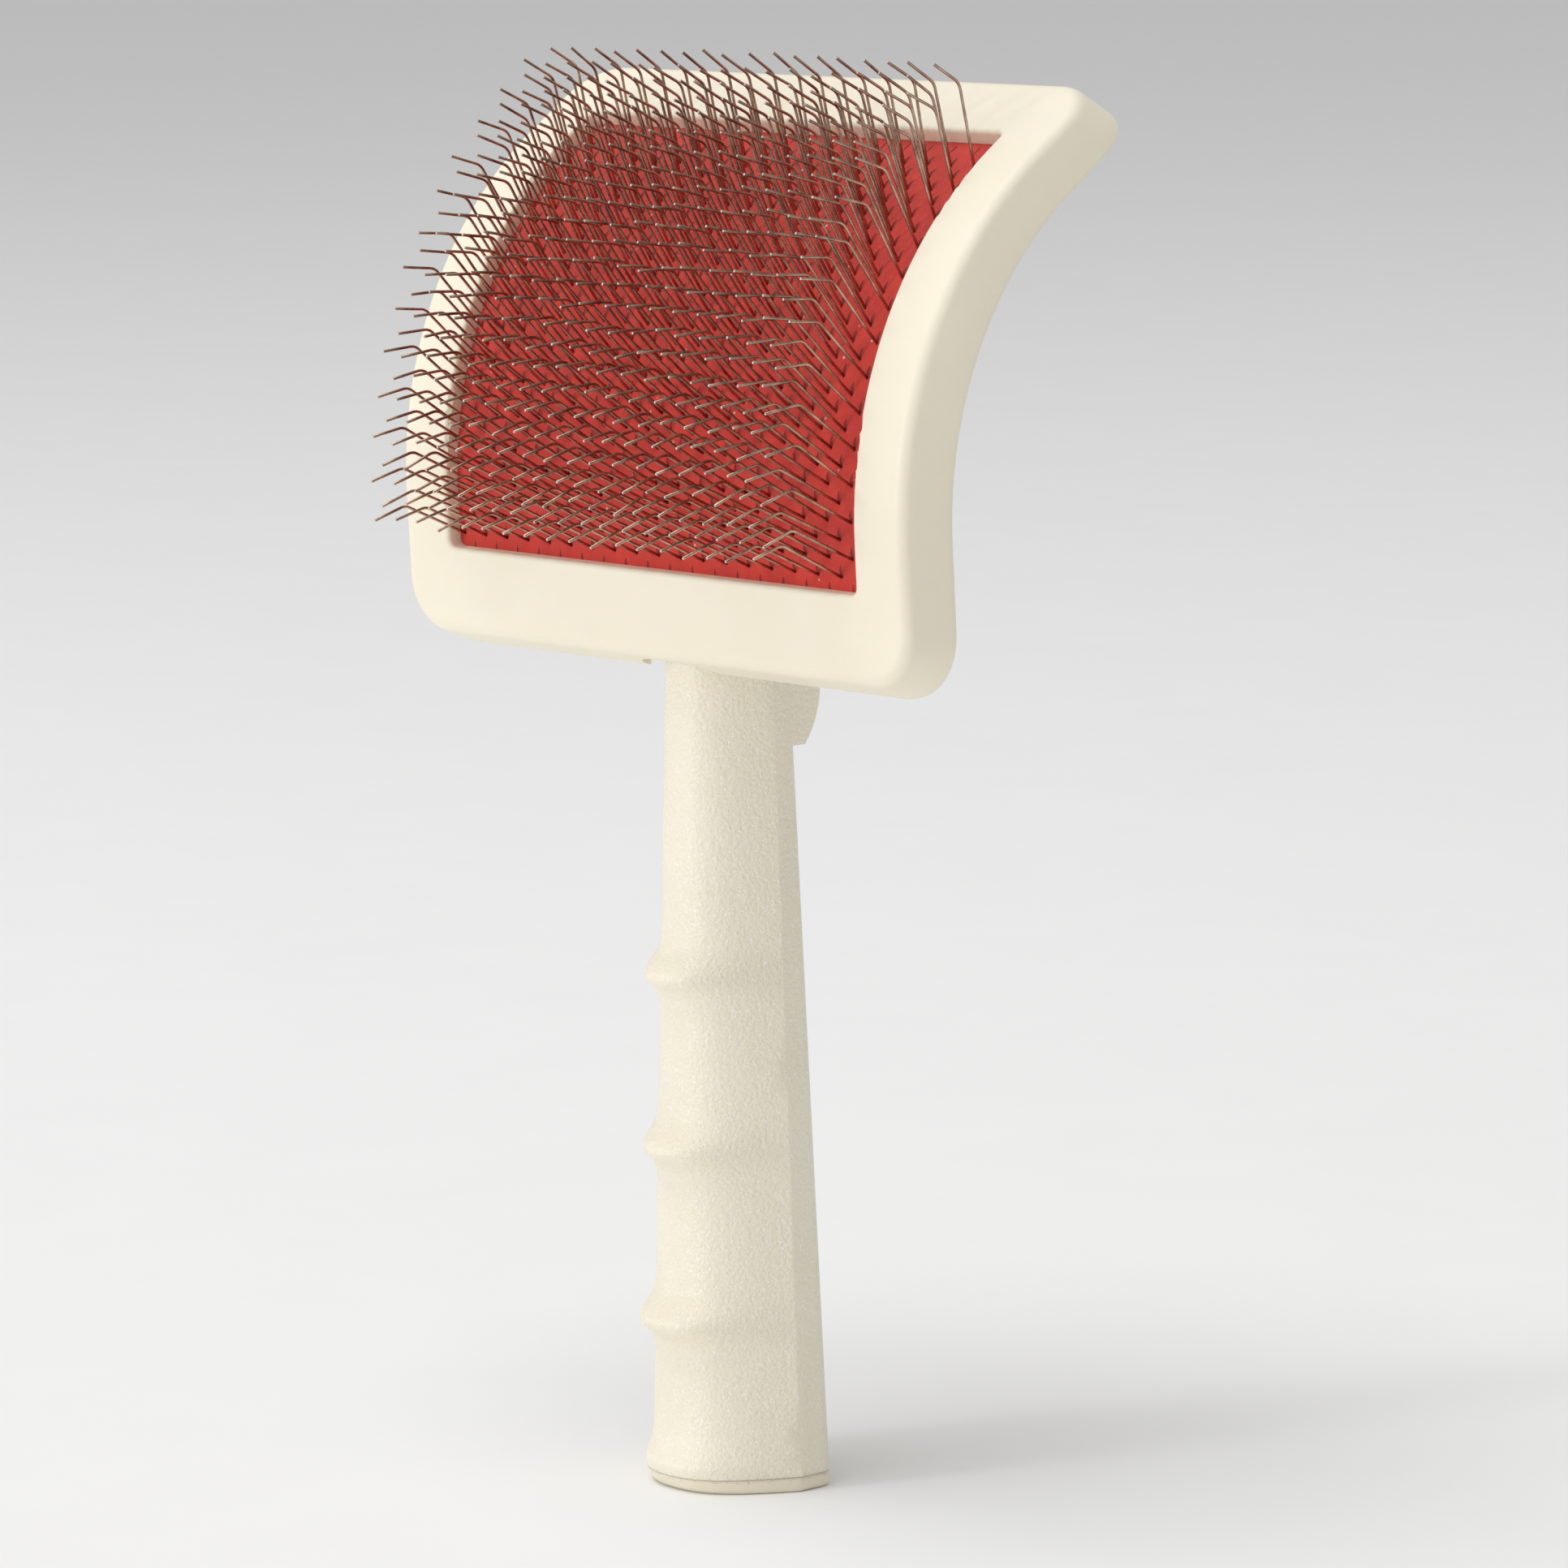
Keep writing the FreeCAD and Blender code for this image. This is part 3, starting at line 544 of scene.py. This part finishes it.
def pin_points(x, row):
    """Points in mm along one slightly irregular pin, from the pad to its tip."""
    up = FIRST_ROW + row * ROW_PITCH
    share = row / (PIN_ROWS - 1)
    lean = LOW_LEAN + (HIGH_LEAN - LOW_LEAN) * share
    lean = (lean + rng.gauss(0, LEAN_SPREAD)) * DEGREE
    hook = LOW_HOOK + (HIGH_HOOK - LOW_HOOK) * share
    hook = (hook + rng.gauss(0, HOOK_SPREAD)) * DEGREE
    leg = LEG * (1 + rng.gauss(0, LEG_SPREAD))
    hook_length = HOOK * (1 + rng.gauss(0, HOOK_LENGTH_SPREAD))
    sway = rng.gauss(0, SWAY_SPREAD)
    twist = rng.gauss(0, TWIST_SPREAD)
    tilt = float(face_tilt(np.array(up)))
    base = face_points(np.array(x), np.array(up), RIM) / MM
    out = np.array([0, -math.cos(tilt), math.sin(tilt)])
    along = np.array([0, math.sin(tilt), math.cos(tilt)])
    side = np.array([1.0, 0, 0])
    points = []
    for outward, upward in pin_path(lean, hook, leg, hook_length):
        beyond_knee = max(outward - leg * math.cos(lean), 0)
        drift = sway * max(outward, 0) + twist * beyond_knee
        points.append(base + out * outward + along * upward + side * drift)
    return np.array(points)


def add_pin(vertices, faces, tips, points):
    """Adds a closed round wire along the points to a row's mesh."""
    side = np.array([1.0, 0, 0])
    start = len(vertices)
    for number, point in enumerate(points):
        before = points[max(number - 1, 0)]
        after = points[min(number + 1, len(points) - 1)]
        way = (after - before) / np.linalg.norm(after - before)
        lateral = side - way * side.dot(way)
        lateral /= np.linalg.norm(lateral)
        normal = np.cross(way, lateral)
        radius = WIRE_RADIUS * (TIP_SHARE if number == len(points) - 1 else 1.0)
        for k in range(WIRE_SIDES):
            angle = 2 * math.pi * k / WIRE_SIDES
            offset = lateral * math.cos(angle) + normal * math.sin(angle)
            vertices.append((point + radius * offset) * MM)
    for ring in range(len(points) - 1):
        for k in range(WIRE_SIDES):
            a = start + ring * WIRE_SIDES + k
            b = start + ring * WIRE_SIDES + (k + 1) % WIRE_SIDES
            faces.append((a, b, b + WIRE_SIDES, a + WIRE_SIDES))
    last = start + (len(points) - 1) * WIRE_SIDES
    tips.append(len(faces))
    faces.append(tuple(last + k for k in range(WIRE_SIDES)))
    faces.append(tuple(start + k for k in reversed(range(WIRE_SIDES))))


def make_pin_rows(wire, end):
    """One mesh of pins for each CAD row of staples, in the same place."""
    for row in range(PIN_ROWS):
        vertices, faces, tips = [], [], []
        for x in pin_xs(row):
            add_pin(vertices, faces, tips, pin_points(x, row))
        pins = new_object(f"wire_row_{row + 1:02d}", vertices, faces, [wire, end])
        for tip in tips:
            pins.data.polygons[tip].material_index = 1
            pins.data.polygons[tip].use_smooth = False
        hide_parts(f"staple_row_{row + 1:02d}")
        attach(pins, "root")


# -------------------------------------------------------- floor, lights and camera

FLOOR_HALF = 30.0
WORLD_STRENGTH = 0.51
LIGHT_AIM = Vector((0, 0, 0.12))
LENS = 164.1                 # mm, on a sensor 36 mm wide
SENSOR = 36.0
VIEW_LIMIT = 60.0
CAMERA_PLACE = (0.7474, -0.6698, 0.2489)
CAMERA_AZIMUTH = 47.68       # degrees
CAMERA_ELEVATION = 8.41
CAMERA_ROLL = -0.55


def make_floor():
    """Large level floor at the foot of the brush."""
    half = FLOOR_HALF
    corners = [(-half, -half, 0), (half, -half, 0), (half, half, 0), (-half, half, 0)]
    floor = new_object("floor", corners, [(0, 1, 2, 3)], [pale_floor()])


def direction(azimuth, elevation):
    """Unit vector: azimuth from the front, positive to the right, in degrees."""
    a = azimuth * DEGREE
    e = elevation * DEGREE
    return Vector((math.sin(a) * math.cos(e), -math.cos(a) * math.cos(e), math.sin(e)))


def add_softbox(name, azimuth, elevation, distance, width, power):
    """Round soft light, width in metres and power in watts, aimed at the brush."""
    light = bpy.data.lights.new(name, "AREA")
    light.shape = "DISK"
    light.size = width
    light.energy = power
    lamp = bpy.data.objects.new(name, light)
    way = direction(azimuth, elevation)
    lamp.location = LIGHT_AIM + way * distance
    lamp.rotation_euler = way.to_track_quat("Z", "Y").to_euler()
    bpy.context.scene.collection.objects.link(lamp)


def light_scene():
    """Even white surroundings, a low key light from the left and a soft top light."""
    world = bpy.data.worlds.new("studio")
    world.use_nodes = True
    background = world.node_tree.nodes["Background"]
    background.inputs["Color"].default_value = (1.0, 1.0, 1.0, 1.0)
    background.inputs["Strength"].default_value = WORLD_STRENGTH
    bpy.context.scene.world = world
    bpy.context.scene.view_settings.view_transform = "Standard"
    add_softbox("key", azimuth=-18, elevation=8, distance=2.6, width=0.6, power=20)
    add_softbox("top", azimuth=-20, elevation=74, distance=2.6, width=2.0, power=32)


def add_camera():
    """Long lens, a little above the head and to the right of the pins."""
    camera_data = bpy.data.cameras.new("camera")
    camera_data.lens = LENS
    camera_data.sensor_width = SENSOR
    camera_data.clip_end = VIEW_LIMIT
    camera = bpy.data.objects.new("camera", camera_data)
    camera.location = CAMERA_PLACE
    turn = Matrix.Rotation(CAMERA_AZIMUTH * DEGREE, 3, "Z")
    raise_up = Matrix.Rotation((90 - CAMERA_ELEVATION) * DEGREE, 3, "X")
    roll = Matrix.Rotation(CAMERA_ROLL * DEGREE, 3, "Z")
    camera.rotation_euler = (turn @ raise_up @ roll).to_euler()
    bpy.context.scene.collection.objects.link(camera)
    bpy.context.scene.camera = camera


dress_cad_nodes()
make_facing(red_facing())
make_pin_rows(drawn_wire(), cut_end())
make_floor()
light_scene()
add_camera()
